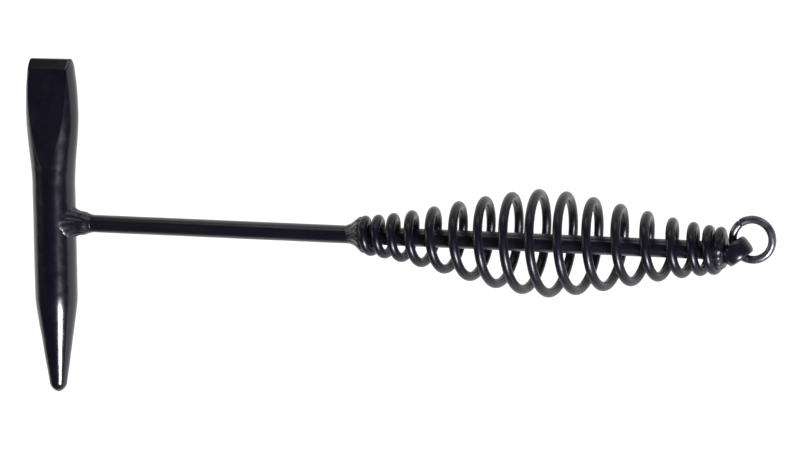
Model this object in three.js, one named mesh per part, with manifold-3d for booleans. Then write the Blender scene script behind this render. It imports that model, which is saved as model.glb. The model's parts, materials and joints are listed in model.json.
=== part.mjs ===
// Spring-handle chipping hammer, as a welder uses to knock slag off a bead.
//
// A forged head with a chisel at one end and a blunt point at the other sits on a round steel
// shank. A barrel-shaped coil of spring wire, welded to the shank at both ends, is the handle.
// The shank's tail is an eye, canted towards the chisel side, that carries a loose hanging ring.
//
// Millimetres. The tool lies on its side: +X runs from the head to the tail, +Y along the head
// towards the chisel, +Z up. It rests on the side of the head and on the belly of the handle.

import * as THREE from 'three';
import { mergeVertices } from 'three/addons/utils/BufferGeometryUtils.js';
import Module from 'manifold-3d';

const wasm = await Module();
wasm.setup();

// ---- Driving dimensions ----------------------------------------------------------------------

// Head, measured from the shank's axis
const chiselReach = 64.8; // to the chisel's cutting edge
const pointReach = 68.2; // to the tip of the point
const barDiameter = 17; // round bar that the head is forged from

const chiselWidth = 21.6; // the blade at its widest
const chiselEdgeWidth = 17.6; // along the cutting edge
const chiselWidestAt = 43; // from the shank's axis
const flatStartsAt = 22; // where the chisel's flats leave the round bar
const chiselEndThickness = 8.4; // blade where the edge bevel starts
const edgeBevelLength = 4.2;
const edgeThickness = 2.4; // the blunt cutting edge

const pointStartsAt = 28; // from the shank's axis, where the bar starts to taper
const pointShoulder = 7.5; // length of the soft shoulder that leads into the taper
const pointEndDiameter = 7.2; // where the blunt nose starts
const noseLength = 4.2;

// Shank
const shankDiameter = 7;
const shankEndInset = 0.4; // front end, below the face of the bar
const eyeAt = 276.9; // centre of the tail eye from the head's axis
const eyeCant = 38; // degrees from +X towards +Y
const eyeDiameter = 11.4;
const eyeThickness = 7; // the bar's own
const eyeNeckDiameter = 4.8; // where the bar runs into the eye's wall
const eyeHole = 5.4;
const eyeHoleFlare = 1.2; // the mouths are bell-shaped, so the curved ring runs free
const eyeEdgeRound = 0.9;

// Spring handle
const wireDiameter = 3.6;
const springStart = 130.5; // centre of the wire at its front end, from the head's axis
const springTurns = 16.4;
const frontCoilGap = 0.5; // between the first coil and the shank
const rearCoilGap = 1.8;
const bellyRadius = 18.8; // centre of the wire
const bellyAt = 203.5; // from the head's axis
const frontPitchShare = 0.48; // of the open pitch, where the coils close up
const rearPitchShare = 0.38;
const frontClosing = 0.36; // share of the turns over which the pitch closes up
const rearClosing = 0.29;
const startAngle = -70; // degrees round the shank from +Y, towards +Z

// Welds
const headWeldRise = 3.4; // above the shank, on the face of the bar
const headWeldThroat = 0.9; // above the shank, where the steep part of the bead ends
const headWeldLength = 4.2; // steep part, from the bar's face
const headWeldTail = 7.5; // thin run-out along the shank
const frontWeldLength = 5; // ahead of the first coil
const frontWeldRise = 0.5; // past the middle of the wire
const frontWeldOverlap = 1.2; // past the start of the wire
const rearWeldRise = -0.4; // short of the middle of the wire
const rearWeldDepth = 3; // under the last coil
const rearWeldCrown = 1.2; // rounded down to the shank behind the last coil
const rearWeldSetback = 0.6; // from the back of the last coil, clear of the ring
const weldLip = 0.5; // thickness where a bead runs out

// Hanging ring
const ringWire = 3;
const ringRadius = 7.4; // centre of the wire
const ringToCoil = 2; // between the wire in the eye and the last coil

const contactGap = 0.3; // left between pieces that touch

// ---- Sizes worked out from them --------------------------------------------------------------

const barRadius = barDiameter / 2;
const shankRadius = shankDiameter / 2;
const wireRadius = wireDiameter / 2;
const shankHoleRadius = shankRadius + contactGap;
const frontCoilRadius = shankRadius + frontCoilGap + wireRadius;
const rearCoilRadius = shankRadius + rearCoilGap + wireRadius;
const springEnd = eyeAt - ringWire / 2 - ringToCoil - wireRadius;
const cant = THREE.MathUtils.degToRad(eyeCant);
const wireSides = 8;
const stepsPerTurn = 18;
const endTurnSteps = Math.round(1.15 * stepsPerTurn);

// ---- Helpers ---------------------------------------------------------------------------------

const TAU = 2 * Math.PI;

/** A closed geometry as a manifold solid. */
function solid(geometry) {
  const shell = geometry.clone();
  shell.deleteAttribute('normal');
  shell.deleteAttribute('uv');
  const merged = mergeVertices(shell, 1e-4);
  return new wasm.Manifold(new wasm.Mesh({
    numProp: 3,
    vertProperties: new Float32Array(merged.attributes.position.array),
    triVerts: new Uint32Array(merged.index.array),
  }));
}

/** A manifold solid as a three.js geometry. */
function geometryOf(manifold) {
  const mesh = manifold.getMesh();
  const geometry = new THREE.BufferGeometry();
  geometry.setAttribute('position', new THREE.BufferAttribute(mesh.vertProperties, 3));
  geometry.setIndex(new THREE.BufferAttribute(mesh.triVerts, 1));
  geometry.computeVertexNormals();
  return geometry;
}

/** A solid of revolution about the X axis, from [x, radius] pairs that start and end on the axis. */
function turnedAboutX(profile, segments) {
  const points = profile.map(([x, radius]) => new THREE.Vector2(radius, x));
  return new THREE.LatheGeometry(points, segments).rotateZ(-Math.PI / 2);
}

/** A cylinder along X between two stations. */
function rodAlongX(radius, from, to, segments = 32) {
  return turnedAboutX([[from, 0], [from, radius], [to, radius], [to, 0]], segments);
}

/** A YZ outline swept along X, centred on x = 0. */
function prismAlongX(outline, width) {
  const shape = new THREE.Shape(outline.map(([y, z]) => new THREE.Vector2(y, z)));
  const geometry = new THREE.ExtrudeGeometry(shape, { depth: width, bevelEnabled: false });
  geometry.translate(0, 0, -width / 2);
  // the shape's x, y and the sweep become Y, Z and X
  return geometry.applyMatrix4(new THREE.Matrix4().set(0, 0, 1, 0, 1, 0, 0, 0, 0, 1, 0, 0, 0, 0, 0, 1));
}

const smooth = (t) => {
  const s = THREE.MathUtils.clamp(t, 0, 1);
  return s * s * (3 - 2 * s);
};

function steel(color, roughness, metalness = 0.6) {
  return new THREE.MeshStandardMaterial({ color, roughness, metalness });
}

function piece(name, geometry, material) {
  const mesh = new THREE.Mesh(geometry, material);
  mesh.name = name;
  return mesh;
}

const blackPaint = steel(0x14131c, 0.3);
const blackWeld = steel(0x1b1a22, 0.45);
const ringSteel = steel(0x4a484f, 0.32, 0.9);

// ---- Head ------------------------------------------------------------------------------------

/** Radius of the head's pointed end at a distance below the shank's axis. */
function pointRadius(reach) {
  const noseStartsAt = pointReach - noseLength;
  const noseRadius = pointEndDiameter / 2;
  if (reach > noseStartsAt) {
    const t = Math.min((reach - noseStartsAt) / noseLength, 1);
    return noseRadius * Math.pow(1 - t * t, 0.62);
  }
  const slope = (barRadius - noseRadius) / (noseStartsAt - pointStartsAt - pointShoulder / 2);
  const past = reach - pointStartsAt;
  if (past <= 0) return barRadius;
  if (past < pointShoulder) return barRadius - (slope * past * past) / (2 * pointShoulder);
  return barRadius - slope * (past - pointShoulder / 2);
}

/** How much wider than the bar the forging is at a distance above the shank's axis. */
function chiselSpread(reach) {
  const widest = chiselWidth / barDiameter;
  const edge = chiselEdgeWidth / barDiameter;
  const bulgeStartsAt = flatStartsAt - 8;
  if (reach < chiselWidestAt) {
    return 1 + (widest - 1) * smooth((reach - bulgeStartsAt) / (chiselWidestAt - bulgeStartsAt));
  }
  const t = (reach - chiselWidestAt) / (chiselReach - chiselWidestAt);
  return widest - (widest - edge) * t * t;
}

function headGeometry() {
  const steps = (from, to, count) =>
    Array.from({ length: count + 1 }, (_, i) => from + ((to - from) * i) / count);

  const belowAxis = [
    ...steps(pointReach, pointReach - noseLength, 6),
    ...steps(pointReach - noseLength, pointStartsAt, 12).slice(1),
  ].map((reach) => new THREE.Vector2(pointRadius(reach), -reach));
  const aboveAxis = steps(0, chiselReach, 24).map((reach) => new THREE.Vector2(barRadius, reach));
  const profile = [...belowAxis, ...aboveAxis, new THREE.Vector2(0, chiselReach)];
  profile[0].x = 0;

  const blank = new THREE.LatheGeometry(profile, 40);
  const position = blank.attributes.position;
  for (let i = 0; i < position.count; i += 1) {
    const reach = position.getY(i);
    if (reach > 0) position.setX(i, position.getX(i) * chiselSpread(reach));
  }

  // One cutter above and one below leave the wedge and its edge bevel.
  const clear = barRadius + 5;
  const bevelStartsAt = chiselReach - edgeBevelLength;
  const cutterOutline = (side) => [
    [flatStartsAt, side * barRadius],
    [bevelStartsAt, side * (chiselEndThickness / 2)],
    [chiselReach, side * (edgeThickness / 2)],
    [chiselReach + 5, side * (edgeThickness / 2)],
    [chiselReach + 5, side * clear],
    [flatStartsAt, side * clear],
  ];
  const upper = solid(prismAlongX(cutterOutline(1), 2 * chiselWidth));
  const lower = solid(prismAlongX(cutterOutline(-1).reverse(), 2 * chiselWidth));
  const hole = solid(rodAlongX(shankHoleRadius, -2 * barRadius, 2 * barRadius, 32));
  return geometryOf(solid(blank).subtract(upper).subtract(lower).subtract(hole));
}

// ---- Shank -----------------------------------------------------------------------------------

/** The round eye at the shank's tail before it is drilled: a fat disc, canted. */
function eyeBlankGeometry(allowance) {
  const radius = eyeDiameter / 2 + allowance;
  const half = eyeThickness / 2 + allowance;
  const disc = new THREE.Shape();
  disc.absarc(0, 0, radius - eyeEdgeRound, 0, TAU, false);
  const blank = new THREE.ExtrudeGeometry(disc, {
    depth: 2 * (half - eyeEdgeRound),
    bevelThickness: eyeEdgeRound,
    bevelSize: eyeEdgeRound,
    bevelSegments: 3,
    curveSegments: 16,
  });
  blank.translate(0, 0, eyeEdgeRound - half).rotateX(-Math.PI / 2);
  return blank.rotateZ(cant).translate(eyeAt, 0, 0);
}

function shankGeometry() {
  const from = -barRadius + shankEndInset;
  const neckAt = eyeAt - eyeDiameter / 2 - 1;
  const rod = solid(turnedAboutX([
    [from, 0],
    [from, shankRadius],
    [neckAt, shankRadius],
    [eyeAt - eyeHole / 2, eyeNeckDiameter / 2],
    [eyeAt - eyeHole / 2, 0],
  ], 32));

  const face = eyeThickness / 2;
  const holeRadius = eyeHole / 2;
  const mouthRadius = holeRadius + eyeHoleFlare;
  const drill = new THREE.LatheGeometry([
    [0, -face - 1],
    [mouthRadius + 1, -face - 1],
    [mouthRadius, -face],
    [holeRadius, eyeHoleFlare - face],
    [holeRadius, face - eyeHoleFlare],
    [mouthRadius, face],
    [mouthRadius + 1, face + 1],
    [0, face + 1],
  ].map(([radius, y]) => new THREE.Vector2(radius, y)), 32);
  drill.rotateZ(cant).translate(eyeAt, 0, 0);

  return geometryOf(rod.add(solid(eyeBlankGeometry(0))).subtract(solid(drill)));
}

// ---- Spring handle ---------------------------------------------------------------------------

/** Coil radius at a station, to the centre of the wire: midway between a cone and a cosine barrel. */
function coilRadius(x) {
  const front = x < bellyAt;
  const length = front ? bellyAt - springStart : springEnd - bellyAt;
  const t = Math.min(Math.abs(x - bellyAt) / length, 1);
  const end = front ? frontCoilRadius : rearCoilRadius;
  const cone = 1 - t;
  const barrel = (1 + Math.cos(Math.PI * t)) / 2;
  return end + ((bellyRadius - end) * (cone + barrel)) / 2;
}

/** The wire's centre line: turns wound right-handed, closer together towards the ends. */
function springPoints() {
  const count = Math.round(springTurns * stepsPerTurn);
  const pitchAt = (turn) =>
    1 - (1 - frontPitchShare) * (1 - smooth(turn / frontClosing))
      - (1 - rearPitchShare) * (1 - smooth((1 - turn) / rearClosing));

  const advance = [0];
  for (let i = 1; i <= count; i += 1) advance.push(advance[i - 1] + pitchAt((i - 0.5) / count));
  return advance.map((along, i) => {
    const x = springStart + ((springEnd - springStart) * along) / advance[count];
    const angle = THREE.MathUtils.degToRad(startAngle) + (TAU * springTurns * i) / count;
    const radius = coilRadius(x);
    return new THREE.Vector3(x, radius * Math.cos(angle), radius * Math.sin(angle));
  });
}

/** A path through given points, stepped point by point rather than by length. */
class Polyline extends THREE.Curve {
  constructor(points) {
    super();
    this.points = points;
  }

  getPoint(t, target = new THREE.Vector3()) {
    const last = this.points.length - 1;
    const place = THREE.MathUtils.clamp(t, 0, 1) * last;
    const i = Math.min(Math.floor(place), last - 1);
    return target.lerpVectors(this.points[i], this.points[i + 1], place - i);
  }

  getUtoTmapping(u) {
    return u;
  }
}

/** Round wire along a path. */
function wireGeometry(points, radius) {
  const section = new THREE.Shape();
  section.absarc(0, 0, radius, 0, TAU, false);
  return new THREE.ExtrudeGeometry(section, {
    steps: points.length - 1,
    curveSegments: wireSides / 2,
    extrudePath: new Polyline(points),
  });
}

const coilPath = springPoints();

// ---- Welds -----------------------------------------------------------------------------------

/** The bead between the head and the shank, cut to the bar's round face. */
function headWeldGeometry() {
  const face = barRadius;
  const inside = face / 2;
  const throatEndsAt = face + headWeldLength;
  const faceRadius = shankRadius + headWeldRise;
  const throatRadius = shankHoleRadius + headWeldThroat;
  const bead = [[inside, 0], [inside, faceRadius]];
  const arcSteps = 6;
  for (let i = 0; i <= arcSteps; i += 1) {
    const angle = (i / arcSteps) * (Math.PI / 2);
    bead.push([
      throatEndsAt - headWeldLength * Math.cos(angle),
      faceRadius - (faceRadius - throatRadius) * Math.sin(angle),
    ]);
  }
  bead.push([throatEndsAt + headWeldTail, shankHoleRadius + weldLip]);
  bead.push([throatEndsAt + headWeldTail, 0]);

  const bar = new THREE.CylinderGeometry(barRadius + contactGap, barRadius + contactGap, 40, 40);
  const shank = rodAlongX(shankHoleRadius, 0, throatEndsAt + headWeldTail + 1);
  return geometryOf(solid(turnedAboutX(bead, 28)).subtract(solid(bar)).subtract(solid(shank)));
}

/** A bead round the shank, moulded to the end turn of the wire that it holds. */
function coilWeldGeometry(profile, endTurn) {
  const [first, second] = endTurn;
  const beyond = first.clone().addScaledVector(first.clone().sub(second).normalize(), contactGap);
  const groove = solid(wireGeometry([beyond, ...endTurn], wireRadius + contactGap));
  const shank = solid(rodAlongX(shankHoleRadius, profile[0][0] - 1, profile.at(-1)[0] + 1));
  const eye = solid(eyeBlankGeometry(contactGap));
  return geometryOf(solid(turnedAboutX(profile, 28)).subtract(groove).subtract(shank).subtract(eye));
}

/** Fills the step from the shank up to the first coil. */
function frontWeldGeometry() {
  const tip = springStart - wireRadius - frontWeldLength;
  const radius = frontCoilRadius + frontWeldRise;
  return coilWeldGeometry([
    [tip, 0],
    [tip, shankHoleRadius + weldLip],
    [springStart - wireRadius - frontWeldLength / 2, shankHoleRadius + weldLip + 0.6],
    [springStart - wireRadius, radius],
    [springStart + frontWeldOverlap, radius],
    [springStart + frontWeldOverlap, 0],
  ], coilPath.slice(0, endTurnSteps));
}

/** Closes the last coil on to the shank, clear of the ring when that stands up. */
function rearWeldGeometry() {
  const face = springEnd + wireRadius - rearWeldSetback;
  const radius = rearCoilRadius + rearWeldRise;
  return coilWeldGeometry([
    [springEnd - rearWeldDepth, 0],
    [springEnd - rearWeldDepth, radius],
    [face - rearWeldCrown, radius],
    [face, shankHoleRadius + weldLip],
    [face, 0],
  ], coilPath.slice(-endTurnSteps).reverse());
}

// ---- Hanging ring ----------------------------------------------------------------------------

function ringGeometry() {
  return new THREE.TorusGeometry(ringRadius, ringWire / 2, 12, 40);
}

// ---- Assembly --------------------------------------------------------------------------------

const tool = new THREE.Group();
tool.add(piece('head', headGeometry(), blackPaint));
tool.add(piece('shank', shankGeometry(), blackPaint));
tool.add(piece('handle_spring', wireGeometry(coilPath, wireRadius), blackPaint));
tool.add(piece('head_weld', headWeldGeometry(), blackWeld));
tool.add(piece('front_weld', frontWeldGeometry(), blackWeld));
tool.add(piece('rear_weld', rearWeldGeometry(), blackWeld));

const ring = piece('hanging_ring', ringGeometry(), ringSteel);
ring.position.set(eyeAt + ringRadius * Math.cos(cant), ringRadius * Math.sin(cant), 0);
tool.add(ring);

// Lying on its side: the tail is raised until the head and the handle's belly touch the surface.
const bellyReach = bellyRadius + wireRadius;
tool.rotation.y = -Math.asin((bellyReach - barRadius) / bellyAt);

const hammer = new THREE.Group();
hammer.add(tool);
const box = new THREE.Box3().setFromObject(hammer, true);
tool.position.set(-(box.min.x + box.max.x) / 2, -(box.min.y + box.max.y) / 2, -box.min.z);

export default hammer;
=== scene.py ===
# Looks of the spring-handle chipping hammer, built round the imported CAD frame.
#
# Shapes are worked out in the tool's own frame, in millimetres: X runs along the shank from the
# head's axis to the tail, Y along the head towards the chisel, and Z is up. One matrix then lays
# them in the row frame, where the tool rests on its head and on the belly of its handle.

import json
import math

import bmesh
import bpy
import numpy as np
from mathutils import Matrix, Vector, noise


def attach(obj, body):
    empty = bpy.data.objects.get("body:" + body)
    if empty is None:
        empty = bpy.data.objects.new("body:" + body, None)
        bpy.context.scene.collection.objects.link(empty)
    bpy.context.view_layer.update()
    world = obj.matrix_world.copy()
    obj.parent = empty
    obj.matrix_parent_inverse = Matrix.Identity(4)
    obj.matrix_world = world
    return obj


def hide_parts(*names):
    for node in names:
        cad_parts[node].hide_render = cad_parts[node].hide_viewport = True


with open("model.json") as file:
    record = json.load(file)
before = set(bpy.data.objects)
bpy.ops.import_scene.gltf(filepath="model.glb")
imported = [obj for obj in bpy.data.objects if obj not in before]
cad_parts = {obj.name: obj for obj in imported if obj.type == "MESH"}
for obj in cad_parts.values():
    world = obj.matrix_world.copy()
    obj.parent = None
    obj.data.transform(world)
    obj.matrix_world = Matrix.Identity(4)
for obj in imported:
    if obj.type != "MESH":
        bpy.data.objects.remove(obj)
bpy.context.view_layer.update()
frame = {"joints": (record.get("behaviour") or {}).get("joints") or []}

MM = 0.001
TAU = 2 * math.pi

# ---- The tool's dimensions, in millimetres: the head's ends lie 0.01 inside the CAD's ----------

BAR_RADIUS = 8.5
CHISEL_REACH = 64.79
POINT_REACH = 68.19
CHISEL_WIDTH = 21.6
CHISEL_EDGE_WIDTH = 17.6
CHISEL_WIDEST_AT = 43.0
FLAT_STARTS_AT = 22.0
CHISEL_END_THICKNESS = 8.4
EDGE_BEVEL = 4.2
EDGE_THICKNESS = 2.4
POINT_STARTS_AT = 28.0
POINT_SHOULDER = 7.5
NOSE_RADIUS = 3.6
NOSE_LENGTH = 4.2
SOCKET_RADIUS = 3.62
SOCKET_MOUTH_RADIUS = 3.95
SOCKET_DEPTH_AT = -2.0

SHANK_RADIUS = 3.5
EYE_AT = 276.9
EYE_CANT = math.radians(38)  # from +X towards +Y
EYE_RADIUS = 5.7
EYE_HOLE_RADIUS = 2.7
EYE_THICKNESS = 7.0

WIRE_RADIUS = 1.8
SPRING_START = 130.5
SPRING_END = 271.6
SPRING_TURNS = 16.4
FRONT_COIL_RADIUS = 5.8
REAR_COIL_RADIUS = 7.1
BELLY_RADIUS = 18.8
BELLY_AT = 203.5
FRONT_PITCH_SHARE = 0.48
REAR_PITCH_SHARE = 0.38
FRONT_CLOSING = 0.36
REAR_CLOSING = 0.29
START_ANGLE = math.radians(-70)

RING_WIRE_RADIUS = 1.5
RING_RADIUS = 7.4

# The tail is raised until the head and the handle's belly touch the surface.
SLOPE = math.asin((BELLY_RADIUS + WIRE_RADIUS - BAR_RADIUS) / BELLY_AT)
EYE = Vector(frame["joints"][0]["pos_m"])
LIE = Matrix.Rotation(-SLOPE, 4, "Y")
TO_ROW = (
    Matrix.Translation(EYE)
    @ LIE
    @ Matrix.Translation(Vector((-EYE_AT * MM, 0, 0)))
    @ Matrix.Scale(MM, 4)
)


def in_row(point):
    return TO_ROW @ Vector(point)


# ---- Mesh helpers -----------------------------------------------------------------------------

def smooth(t):
    t = min(max(t, 0.0), 1.0)
    return t * t * (3 - 2 * t)


def wander(x, y, z, size, octaves=2):
    """Smooth noise from about -1 to 1, with bumps about size millimetres across."""
    return noise.fractal(Vector((x, y, z)) / size, 0.5, 2.0, octaves)


def build(name, points, faces, body, node, sharp=40):
    """A smooth-shaded mesh from points in the tool frame, riding on a body."""
    mesh = bpy.data.meshes.new(name)
    mesh.from_pydata([tuple(in_row(p)) for p in points], [], faces)
    mesh.validate()
    mesh.update()
    piece = bpy.data.objects.new(name, mesh)
    bpy.context.scene.collection.objects.link(piece)
    mesh.shade_smooth()
    mesh.set_sharp_from_angle(angle=math.radians(sharp))
    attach(piece, body)
    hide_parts(node)
    return piece


def loft(rows, closed_ends=True):
    """Points and faces of a closed-around skin through rows of equal length."""
    count = len(rows[0])
    points = [p for row in rows for p in row]
    faces = []
    for i in range(len(rows) - 1):
        for j in range(count):
            k = (j + 1) % count
            a, b = i * count, (i + 1) * count
            faces.append((a + j, a + k, b + k, b + j))
    if closed_ends:
        for start, turn in ((0, True), ((len(rows) - 1) * count, False)):
            middle = np.mean(rows[0] if turn else rows[-1], axis=0)
            points.append(tuple(middle))
            hub = len(points) - 1
            for j in range(count):
                k = (j + 1) % count
                faces.append((hub, start + k, start + j) if turn else (hub, start + j, start + k))
    return points, faces


def tube(centres, radii, sides, outward):
    """Rows of a round tube along centres; outward gives each row's reference direction."""
    centres = np.asarray(centres)
    tangents = np.gradient(centres, axis=0)
    rows = []
    for c, t, r, out in zip(centres, tangents, radii, outward):
        t = t / np.linalg.norm(t)
        n = out - t * np.dot(out, t)
        n = n / np.linalg.norm(n)
        b = np.cross(t, n)
        rows.append([
            tuple(c + r * (math.cos(TAU * j / sides) * n + math.sin(TAU * j / sides) * b))
            for j in range(sides)
        ])
    return rows


# ---- Head -------------------------------------------------------------------------------------

def point_radius(reach):
    nose_at = POINT_REACH - NOSE_LENGTH
    if reach > nose_at:
        t = min((reach - nose_at) / NOSE_LENGTH, 1)
        return NOSE_RADIUS * (1 - t * t) ** 0.62
    slope = (BAR_RADIUS - NOSE_RADIUS) / (nose_at - POINT_STARTS_AT - POINT_SHOULDER / 2)
    past = reach - POINT_STARTS_AT
    if past <= 0:
        return BAR_RADIUS
    if past < POINT_SHOULDER:
        return BAR_RADIUS - slope * past * past / (2 * POINT_SHOULDER)
    return BAR_RADIUS - slope * (past - POINT_SHOULDER / 2)


def chisel_half_width(reach):
    if reach < CHISEL_WIDEST_AT:
        bulge_at = FLAT_STARTS_AT - 8
        share = smooth((reach - bulge_at) / (CHISEL_WIDEST_AT - bulge_at))
        return BAR_RADIUS + (CHISEL_WIDTH / 2 - BAR_RADIUS) * share
    t = (reach - CHISEL_WIDEST_AT) / (CHISEL_REACH - CHISEL_WIDEST_AT)
    return CHISEL_WIDTH / 2 - (CHISEL_WIDTH - CHISEL_EDGE_WIDTH) / 2 * t * t


def flat_height(reach):
    """Half the thickness that the chisel's flats leave."""
    bevel_at = CHISEL_REACH - EDGE_BEVEL
    if reach <= FLAT_STARTS_AT:
        return BAR_RADIUS + (FLAT_STARTS_AT - reach) * 0.16
    end = CHISEL_END_THICKNESS / 2
    if reach <= bevel_at:
        t = (reach - FLAT_STARTS_AT) / (bevel_at - FLAT_STARTS_AT)
        return BAR_RADIUS + (end - BAR_RADIUS) * t
    return end + (EDGE_THICKNESS / 2 - end) * (reach - bevel_at) / EDGE_BEVEL


def quarter_outline(a, b, h, soften, count):
    """From (a, 0) round to (0, min(b, h)): an ellipse cut by a flat, with a rounded corner."""
    inner_a, inner_b, inner_h = a - soften, b - soften, h - soften
    cut = math.asin(min(1.0, inner_h / inner_b))
    fine = []
    for t in np.linspace(0, cut, 60):
        n = Vector((math.cos(t) / inner_a, math.sin(t) / inner_b)).normalized()
        fine.append((inner_a * math.cos(t) + soften * n.x, inner_b * math.sin(t) + soften * n.y))
    lean = math.atan2(n.y, n.x)
    corner_x, corner_y = inner_a * math.cos(cut), inner_b * math.sin(cut)
    before = len(fine)
    for t in np.linspace(lean, math.pi / 2, 16)[1:]:
        fine.append((corner_x + soften * math.cos(t), corner_y + soften * math.sin(t)))
    after = len(fine)
    for t in np.linspace(0, 1, 40)[1:]:
        fine.append((corner_x * (1 - t), corner_y + soften))
    fine = np.array(fine)
    length = np.concatenate([[0], np.cumsum(np.linalg.norm(np.diff(fine, axis=0), axis=1))])
    corner = (length[before - 1] + length[after - 1]) / 2
    pull = 5 * min(1.0, (math.pi / 2 - lean) / 0.4)
    weight = 1 + pull * np.exp(-(((length - corner) / 1.3) ** 2))
    steps = np.diff(length) * (weight[1:] + weight[:-1]) / 2
    run = np.concatenate([[0], np.cumsum(steps)])
    even = np.linspace(0, run[-1], count + 1)
    return np.stack([np.interp(even, run, fine[:, 0]), np.interp(even, run, fine[:, 1])], axis=1)


def full_outline(a, b, h, soften, count):
    q = quarter_outline(a, b, h, soften, count)
    upper = np.concatenate([q, (q * [-1, 1])[::-1][1:]])
    return np.concatenate([upper, (upper * [1, -1])[::-1][1:-1]])


def head_piece():
    quarter = 22
    edge_round = 0.45
    nose_at = POINT_REACH - NOSE_LENGTH
    stations = [
        (-(nose_at + NOSE_LENGTH * math.cos(t)), 0.0)
        for t in np.linspace(0.12, math.pi / 2, 12)
    ]
    stations += [(-y, 0.0) for y in np.arange(nose_at - 0.7, 0, -0.8)]
    stations += [(y, 0.0) for y in np.arange(0.1, CHISEL_REACH - EDGE_BEVEL - 0.7, 0.8)]
    bevel_from = CHISEL_REACH - EDGE_BEVEL - 0.6
    stations += [(y, 0.0) for y in np.linspace(bevel_from, CHISEL_REACH - edge_round, 12)]
    stations += [
        (CHISEL_REACH - edge_round * (1 - math.sin(t)), edge_round * (1 - math.cos(t)))
        for t in np.linspace(0, math.pi / 2, 6)[1:]
    ]
    rows = []
    for y, inset in stations:
        if y < 0:
            r = point_radius(-y)
            outline = full_outline(r, r, r + 2, 0.3 * r, quarter)
        else:
            half = chisel_half_width(y) - inset
            thin = flat_height(y) - inset
            soften = min(0.9, 0.8 * thin)
            outline = full_outline(half, BAR_RADIUS, thin, soften, quarter)
        row = []
        for x, z in outline:
            out = math.hypot(x, z) or 1.0
            dent = 0.05 * (wander(x, y, z, 9) - 1) + 0.012 * (wander(x, y, z, 2.2) - 1)
            dent *= smooth((out - 0.4) / 2.5)
            row.append((x + dent * x / out, y, z + dent * z / out))
        rows.append(row)

    points, faces = loft(rows, closed_ends=False)
    count = 4 * quarter
    tip = len(points)
    points.append((0, -POINT_REACH, 0))
    faces += [(tip, (j + 1) % count, j) for j in range(count)]
    last = (len(rows) - 1) * count
    half_way = 2 * quarter
    for j in range(half_way):
        a, b = j, j + 1
        c, d = (count - b) % count, (count - a) % count
        quad = (last + a, last + b, last + c, last + d)
        faces.append(tuple(dict.fromkeys(quad)))

    piece = build("head_forging", points, faces, "hammer", "head", 55)

    # The socket for the shank's dressed end, on the far side from the handle.
    socket = [
        (-12.0, 7.6),
        (-BAR_RADIUS + 0.35, SOCKET_MOUTH_RADIUS),
        (-BAR_RADIUS + 1.4, SOCKET_RADIUS),
        (SOCKET_DEPTH_AT, SOCKET_RADIUS),
    ]
    sides = 64
    rings = [
        [(x, r * math.cos(TAU * j / sides), r * math.sin(TAU * j / sides)) for j in range(sides)]
        for x, r in socket
    ]
    cut_points, cut_faces = loft(rings)
    cutter_mesh = bpy.data.meshes.new("socket_cutter")
    cutter_mesh.from_pydata([tuple(in_row(p)) for p in cut_points], [], cut_faces)
    cutter = bpy.data.objects.new("socket_cutter", cutter_mesh)
    bpy.context.scene.collection.objects.link(cutter)
    turn_outward(cutter_mesh)
    turn_outward(piece.data)
    boolean = piece.modifiers.new("socket", "BOOLEAN")
    boolean.object = cutter
    boolean.operation = "DIFFERENCE"
    boolean.solver = "EXACT"
    settle(piece, 55)
    bpy.data.objects.remove(cutter)
    return piece


def turn_outward(mesh):
    shell = bmesh.new()
    shell.from_mesh(mesh)
    bmesh.ops.recalc_face_normals(shell, faces=shell.faces)
    shell.to_mesh(mesh)
    shell.free()
    mesh.update()


def settle(piece, sharp):
    """Applies the piece's modifiers to its mesh."""
    graph = bpy.context.evaluated_depsgraph_get()
    graph.update()
    done = bpy.data.meshes.new_from_object(piece.evaluated_get(graph))
    piece.modifiers.clear()
    piece.data = done
    done.shade_smooth()
    done.set_sharp_from_angle(angle=math.radians(sharp))


# ---- Shank ------------------------------------------------------------------------------------

def shank_piece():
    sides = 48
    profile = [(-8.28, 0.6), (-8.22, 1.5), (-8.12, 2.3), (-7.95, 2.9), (-7.65, 3.3), (-7.2, 3.47)]
    profile += [(x, SHANK_RADIUS) for x in np.arange(-6.5, 268.6, 1.6)]
    profile += [(269.6, 3.5), (270.6, 3.45), (271.6, 3.3), (272.6, 3.0), (273.4, 2.5)]
    rows = []
    for x, r in profile:
        row = []
        for j in range(sides):
            t = TAU * j / sides
            dent = 0.03 * (wander(x, r * math.cos(t), r * math.sin(t), 9, 1) - 1)
            reach = r + dent * min(1.0, r / 3)
            row.append((x, reach * math.cos(t), reach * math.sin(t)))
        rows.append(row)
    points, faces = loft(rows)

    # The tail eye: a forged loop, canted, and thicker along its hole than its wall is deep.
    around, across = 72, 28
    middle = (EYE_RADIUS + EYE_HOLE_RADIUS) / 2
    deep = (EYE_RADIUS - EYE_HOLE_RADIUS) / 2
    base = len(points)
    for i in range(around):
        turn = TAU * i / around
        for j in range(across):
            t = TAU * j / across
            c, s = math.cos(t), math.sin(t)
            fat = 0.72
            u = math.copysign(abs(c) ** fat, c) * deep
            v = math.copysign(abs(s) ** fat, s) * (EYE_THICKNESS / 2 - 0.02)
            reach = middle + u
            reach -= 0.03 * (1 + wander(reach * math.cos(turn), v, reach * math.sin(turn), 3, 1))
            along = reach * math.cos(turn)
            points.append((
                EYE_AT + along * math.cos(EYE_CANT) - v * math.sin(EYE_CANT),
                along * math.sin(EYE_CANT) + v * math.cos(EYE_CANT),
                reach * math.sin(turn),
            ))
    for i in range(around):
        for j in range(across):
            a, b = base + i * across, base + ((i + 1) % around) * across
            k = (j + 1) % across
            faces.append((a + j, b + j, b + k, a + k))
    return build("shank_bar", points, faces, "hammer", "shank", 50)


# ---- Spring handle ----------------------------------------------------------------------------

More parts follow.
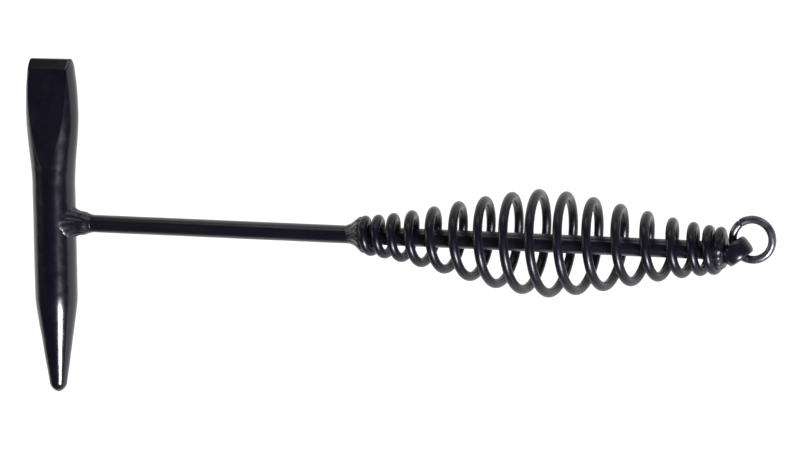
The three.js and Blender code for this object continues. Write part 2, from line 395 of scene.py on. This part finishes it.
def coil_radius(x):
    front = x < BELLY_AT
    length = BELLY_AT - SPRING_START if front else SPRING_END - BELLY_AT
    t = min(abs(x - BELLY_AT) / length, 1)
    end = FRONT_COIL_RADIUS if front else REAR_COIL_RADIUS
    cone = 1 - t
    barrel = (1 + math.cos(math.pi * t)) / 2
    return end + (BELLY_RADIUS - end) * (cone + barrel) / 2


def spring_path(steps_per_turn):
    count = round(SPRING_TURNS * steps_per_turn)

    def pitch(turn):
        return (
            1
            - (1 - FRONT_PITCH_SHARE) * (1 - smooth(turn / FRONT_CLOSING))
            - (1 - REAR_PITCH_SHARE) * (1 - smooth((1 - turn) / REAR_CLOSING))
        )

    advance = np.concatenate([[0], np.cumsum([pitch((i + 0.5) / count) for i in range(count)])])
    stations = SPRING_START + (SPRING_END - SPRING_START) * advance / advance[-1]
    angles = START_ANGLE + TAU * SPRING_TURNS * np.arange(count + 1) / count
    return stations, angles


def spring_piece():
    stations, angles = spring_path(56)
    centres, outward = [], []
    for x, t in zip(stations, angles):
        r = coil_radius(x) - 0.05 * (1.9 + wander(x, 3 * math.cos(t), 3 * math.sin(t), 11, 1))
        centres.append((x, r * math.cos(t), r * math.sin(t)))
        outward.append((0.0, math.cos(t), math.sin(t)))
    radii = [WIRE_RADIUS] * len(centres)
    for i, r in enumerate((1.45, 1.68, 1.77)):
        radii[i] = radii[-1 - i] = r
    rows = tube(centres, radii, 18, np.array(outward))
    points, faces = loft(rows)
    return build("coil_spring", points, faces, "hammer", "handle_spring", 50)


# ---- Welds ------------------------------------------------------------------------------------

def head_weld_piece():
    """A rippled fillet from the bar's round face down on to the shank."""
    around, along = 128, 26
    steep, run_out = 4.2, 7.3
    foot_radius, throat_radius = 6.75, 4.6
    rows = []
    for i in range(along + 1):
        s = i / along
        row = []
        for j in range(around):
            t = TAU * j / around
            foot = foot_radius + 0.3 * wander(3 * math.cos(t), 3 * math.sin(t), 0, 2.2, 1)
            if s < 0.7:
                q = s / 0.7 * math.pi / 2
                r = foot - (foot - throat_radius) * math.sin(q)
                out = steep * (1 - math.cos(q))
            else:
                q = (s - 0.7) / 0.3
                r = throat_radius - 0.75 * smooth(q) - 0.33 * q
                out = steep + run_out * 0.55 * q
            phase = 15 * t + 1.9 * math.sin(math.pi * min(s / 0.8, 1))
            ripple = 0.17 * math.sin(phase) * math.sin(math.pi * min(s / 0.85, 1)) ** 0.7
            ripple += 0.08 * wander(out, r * math.cos(t), r * math.sin(t), 1.6)
            r += 0.7 * ripple
            y, z = r * math.cos(t), r * math.sin(t)
            face = math.sqrt(max(BAR_RADIUS ** 2 - z * z, 1)) - 0.15
            # The bead leaves the curved bar and evens out towards the shank.
            x = face + (BAR_RADIUS - face) * smooth(s / 0.6) + out + 0.7 * ripple
            row.append((x, y, z))
        rows.append(row)
    inside = [[(x - 1.6, y * 0.98, z * 0.98) for x, y, z in rows[0]]]
    under = [[(x + 0.3, y * 0.9, z * 0.9) for x, y, z in rows[-1]]]
    points, faces = loft(inside + rows + under)
    return build("weld_at_head", points, faces, "hammer", "head_weld", 60)


def bead(name, node, profile, ripples, depth, shift):
    """A weld round the shank from [x, radius] pairs, rippled, its front following the wire."""
    around = 120
    xs = np.array([p[0] for p in profile])
    rs = np.array([p[1] for p in profile])
    fine = np.linspace(0, len(profile) - 1, 34)
    rows = []
    for place in fine:
        x0 = np.interp(place, range(len(xs)), xs)
        r0 = np.interp(place, range(len(rs)), rs)
        share = place / (len(profile) - 1)
        row = []
        for j in range(around):
            t = TAU * j / around
            fade = math.sin(math.pi * share) ** 0.6 if 0 < share < 1 else 0
            ripple = depth * fade * math.sin(ripples * t + 2.2 * math.sin(math.pi * share))
            ripple += 0.5 * depth * fade * wander(x0, r0 * math.cos(t), r0 * math.sin(t), 1.5)
            r = r0 + ripple
            row.append((x0 + shift(t), r * math.cos(t), r * math.sin(t)))
        rows.append(row)
    points, faces = loft(rows)
    return build(name, points, faces, "hammer", node, 60)


def front_weld_piece():
    first_pitch = 4.6

    def shift(t):
        past = ((t - START_ANGLE) / TAU) % 1
        return first_pitch * (past if past < 0.86 else 0.86 * (1 - past) / 0.14) - 1.2

    profile = [
        (123.6, 3.0), (124.2, 3.62), (125.4, 3.95), (126.6, 4.6), (127.6, 5.4),
        (128.6, 6.3), (129.6, 6.9), (130.6, 7.0), (131.4, 6.5), (131.9, 5.2), (132.0, 3.0),
    ]
    return bead("weld_at_front_coil", "front_weld", profile, 14, 0.16, shift)


def rear_weld_piece():
    profile = [
        (267.8, 3.0), (268.2, 5.6), (269.0, 6.7), (270.4, 7.0), (271.6, 6.9), (272.3, 6.4),
        (272.8, 5.6), (273.0, 4.6), (273.0, 3.0),
    ]
    return bead("weld_at_rear_coil", "rear_weld", profile, 13, 0.14, lambda t: 0.0)


# ---- Hanging ring -----------------------------------------------------------------------------

def ring_piece():
    """Bent from wire: its two cut ends meet in a butt joint."""
    count = 132
    half_gap = math.radians(0.9)
    meets_at = math.radians(128)
    centre = Vector((
        EYE_AT + RING_RADIUS * math.cos(EYE_CANT),
        RING_RADIUS * math.sin(EYE_CANT),
        0,
    ))
    angles = meets_at + np.linspace(half_gap, TAU - half_gap, count)
    centres = [
        (centre.x + RING_RADIUS * math.cos(t), centre.y + RING_RADIUS * math.sin(t), 0.0)
        for t in angles
    ]
    outward = np.array([(math.cos(t), math.sin(t), 0.0) for t in angles])
    radii = np.full(count, RING_WIRE_RADIUS)
    radii[0] = radii[-1] = RING_WIRE_RADIUS * 0.86
    rows = tube(centres, radii, 24, outward)
    points, faces = loft(rows)
    return build("wire_ring", points, faces, "ring", "hanging_ring", 50)


head = head_piece()
shank = shank_piece()
spring = spring_piece()
head_weld = head_weld_piece()
front_weld = front_weld_piece()
rear_weld = rear_weld_piece()
ring = ring_piece()


# ---- Materials --------------------------------------------------------------------------------

def nodes_of(name):
    material = bpy.data.materials.new(name)
    material.use_nodes = True
    tree = material.node_tree
    tree.nodes.clear()
    output = tree.nodes.new("ShaderNodeOutputMaterial")
    shader = tree.nodes.new("ShaderNodeBsdfPrincipled")
    tree.links.new(shader.outputs["BSDF"], output.inputs["Surface"])
    coordinates = tree.nodes.new("ShaderNodeTexCoord")
    return material, tree, shader, coordinates.outputs["Object"]


def scaled(tree, coordinates, scale):
    mapping = tree.nodes.new("ShaderNodeMapping")
    mapping.inputs["Scale"].default_value = scale
    tree.links.new(coordinates, mapping.inputs["Vector"])
    return mapping.outputs["Vector"]


def noise_of(tree, coordinates, size_mm, detail=4.0, roughness=0.55, stretch=(1, 1, 1)):
    """Noise with features about size_mm across."""
    per_metre = 1000 / size_mm
    texture = tree.nodes.new("ShaderNodeTexNoise")
    texture.inputs["Scale"].default_value = 1.0
    texture.inputs["Detail"].default_value = detail
    texture.inputs["Roughness"].default_value = roughness
    vector = scaled(tree, coordinates, [per_metre * s for s in stretch])
    tree.links.new(vector, texture.inputs["Vector"])
    return texture.outputs["Fac"]


def ramp(tree, value, stops):
    node = tree.nodes.new("ShaderNodeValToRGB")
    elements = node.color_ramp.elements
    while len(elements) < len(stops):
        elements.new(0.5)
    for element, (place, color) in zip(elements, stops):
        element.position = place
        element.color = (*color, 1.0)
    tree.links.new(value, node.inputs["Fac"])
    return node.outputs["Color"]


def remap(tree, value, low, high, to_low, to_high):
    node = tree.nodes.new("ShaderNodeMapRange")
    node.inputs["From Min"].default_value = low
    node.inputs["From Max"].default_value = high
    node.inputs["To Min"].default_value = to_low
    node.inputs["To Max"].default_value = to_high
    tree.links.new(value, node.inputs["Value"])
    return node.outputs["Result"]


def bumped(tree, shader, layers):
    """Bump nodes in a row, one for each (height, depth in millimetres, strength)."""
    normal = None
    for height, depth_mm, strength in layers:
        bump = tree.nodes.new("ShaderNodeBump")
        bump.inputs["Strength"].default_value = strength
        bump.inputs["Distance"].default_value = depth_mm * MM
        tree.links.new(height, bump.inputs["Height"])
        if normal is not None:
            tree.links.new(normal, bump.inputs["Normal"])
        normal = bump.outputs["Normal"]
    tree.links.new(normal, shader.inputs["Normal"])


def enamel(name, dark, light, gloss, rough, forge_mm, forge_depth, peel_depth, stretch=(1, 1, 1),
           ior=1.5):
    """Black enamel: a slightly uneven film over the steel's own surface."""
    material, tree, shader, at = nodes_of(name)
    patches = noise_of(tree, at, 11, 3, 0.6, stretch)
    color = ramp(tree, patches, [(0.3, dark), (0.7, light)])
    tree.links.new(color, shader.inputs["Base Color"])
    dull = noise_of(tree, at, 3.2, 5, 0.6, stretch)
    tree.links.new(remap(tree, dull, 0.3, 0.7, gloss, rough), shader.inputs["Roughness"])
    shader.inputs["IOR"].default_value = ior
    forge = noise_of(tree, at, forge_mm, 3, 0.5, stretch)
    peel = noise_of(tree, at, 0.7, 2, 0.5)
    bumped(tree, shader, [(forge, forge_depth, 1.0), (peel, peel_depth, 1.0)])
    return material


head_enamel = enamel(
    "forged_black_enamel", (0.0018, 0.0014, 0.004), (0.004, 0.0034, 0.007), 0.17, 0.25, 4.0, 0.02, 0.004
)
shank_enamel = enamel(
    "bar_black_enamel", (0.0018, 0.0016, 0.004), (0.004, 0.0036, 0.007), 0.24, 0.34, 1.6, 0.02, 0.006,
    (0.12, 1, 1),
)
spring_enamel = enamel(
    "wire_black_enamel", (0.0018, 0.0014, 0.004), (0.004, 0.0034, 0.007), 0.26, 0.38, 1.4, 0.02, 0.006,
    ior=1.36,
)
weld_enamel = enamel(
    "weld_black_enamel", (0.0025, 0.002, 0.0045), (0.005, 0.0045, 0.008), 0.28, 0.42, 0.9, 0.06, 0.008
)


def ring_material():
    """Blackened steel wire, rubbed brighter in patches."""
    material, tree, shader, at = nodes_of("ring_black_steel")
    rubbed = noise_of(tree, at, 4.5, 5, 0.65)
    color = ramp(tree, rubbed, [(0.35, (0.035, 0.033, 0.042)), (0.62, (0.16, 0.155, 0.17))])
    tree.links.new(color, shader.inputs["Base Color"])
    shader.inputs["Metallic"].default_value = 0.9
    dull = noise_of(tree, at, 1.2, 4, 0.6)
    tree.links.new(remap(tree, dull, 0.3, 0.7, 0.26, 0.42), shader.inputs["Roughness"])
    drawn = noise_of(tree, at, 0.5, 3, 0.5)
    bumped(tree, shader, [(drawn, 0.015, 0.8)])
    return material


for piece, material in (
    (head, head_enamel),
    (shank, shank_enamel),
    (spring, spring_enamel),
    (head_weld, weld_enamel),
    (front_weld, weld_enamel),
    (rear_weld, weld_enamel),
    (ring, ring_material()),
):
    piece.data.materials.clear()
    piece.data.materials.append(material)


# ---- Floor, light and camera ------------------------------------------------------------------

def floor_piece():
    side = 4.0
    mesh = bpy.data.meshes.new("studio_floor")
    corners = [(-side, -side, 0), (side, -side, 0), (side, side, 0), (-side, side, 0)]
    mesh.from_pydata(corners, [], [(0, 1, 2, 3)])
    floor = bpy.data.objects.new("studio_floor", mesh)
    bpy.context.scene.collection.objects.link(floor)
    material, _, shader, _ = nodes_of("studio_floor")
    shader.inputs["Base Color"].default_value = (0.9, 0.9, 0.9, 1)
    shader.inputs["Roughness"].default_value = 0.9
    shader.inputs["Specular IOR Level"].default_value = 0.1
    mesh.materials.append(material)
    return floor


floor = floor_piece()

# The soft boxes light the tool alone, and the lamp above lights the floor alone.
tool_only = bpy.data.collections.new("tool_only")
for piece in (head, shank, spring, head_weld, front_weld, rear_weld, ring):
    tool_only.objects.link(piece)
floor_only = bpy.data.collections.new("floor_only")
floor_only.objects.link(floor)


def area_light(name, place_mm, aim_mm, size_m, power, color):
    """A soft box at a place in the tool frame, facing a point in it."""
    light = bpy.data.lights.new(name, "AREA")
    light.shape = "RECTANGLE"
    light.size, light.size_y = size_m
    light.energy = power
    light.color = color
    holder = bpy.data.objects.new(name, light)
    bpy.context.scene.collection.objects.link(holder)
    place, aim = in_row(place_mm), in_row(aim_mm)
    holder.matrix_world = (
        Matrix.Translation(place) @ (place - aim).to_track_quat("Z", "Y").to_matrix().to_4x4()
    )
    holder.light_linking.receiver_collection = tool_only


# The key stands over the tail, on the point's side. The other two are far weaker.
area_light("key_softbox", (700, -520, 640), (40, -20, 0), (0.22, 0.36), 27, (0.93, 0.91, 1.0))
area_light("head_softbox", (-760, 160, 420), (0, 30, 0), (0.3, 0.6), 2.2, (1.0, 0.96, 0.92))
area_light("top_softbox", (200, 950, 420), (140, 0, 0), (1.2, 0.3), 3, (0.94, 0.93, 1.0))

# A wide lamp straight above lights the floor evenly; the tool casts no shadow from it.
lamp = bpy.data.lights.new("floor_lamp", "SUN")
lamp.energy = 4.0
lamp.angle = math.radians(75)
floor_lamp = bpy.data.objects.new("floor_lamp", lamp)
bpy.context.scene.collection.objects.link(floor_lamp)
floor_lamp.light_linking.receiver_collection = floor_only
floor_lamp.light_linking.blocker_collection = floor_only

world = bpy.data.worlds.new("studio")
world.use_nodes = True
background = world.node_tree.nodes["Background"]
background.inputs["Color"].default_value = (0.86, 0.84, 1.0, 1)
background.inputs["Strength"].default_value = 0.06
bpy.context.scene.world = world
bpy.context.scene.view_settings.view_transform = "Standard"

CAMERA_YAW = math.radians(20.34)
CAMERA_PITCH = math.radians(8.04)
CAMERA_ROLL = math.radians(-0.49)
CAMERA_DISTANCE = 1207.0
CAMERA_AIM = Vector((145.6, 0.3, 0))

back = Vector((
    math.sin(CAMERA_YAW) * math.cos(CAMERA_PITCH),
    math.sin(CAMERA_PITCH),
    math.cos(CAMERA_YAW) * math.cos(CAMERA_PITCH),
))
right = Vector((0, 1, 0)).cross(back).normalized()
up = back.cross(right)
rolled_right = right * math.cos(CAMERA_ROLL) + up * math.sin(CAMERA_ROLL)
rolled_up = up * math.cos(CAMERA_ROLL) - right * math.sin(CAMERA_ROLL)
turn = LIE.to_3x3() @ Matrix((rolled_right, rolled_up, back)).transposed()

camera_data = bpy.data.cameras.new("camera")
camera_data.lens = 143.0
camera_data.sensor_width = 36.0
camera_data.clip_end = 20.0
camera = bpy.data.objects.new("camera", camera_data)
bpy.context.scene.collection.objects.link(camera)
camera.matrix_world = Matrix.Translation(in_row(CAMERA_AIM + back * CAMERA_DISTANCE)) @ turn.to_4x4()
bpy.context.scene.camera = camera
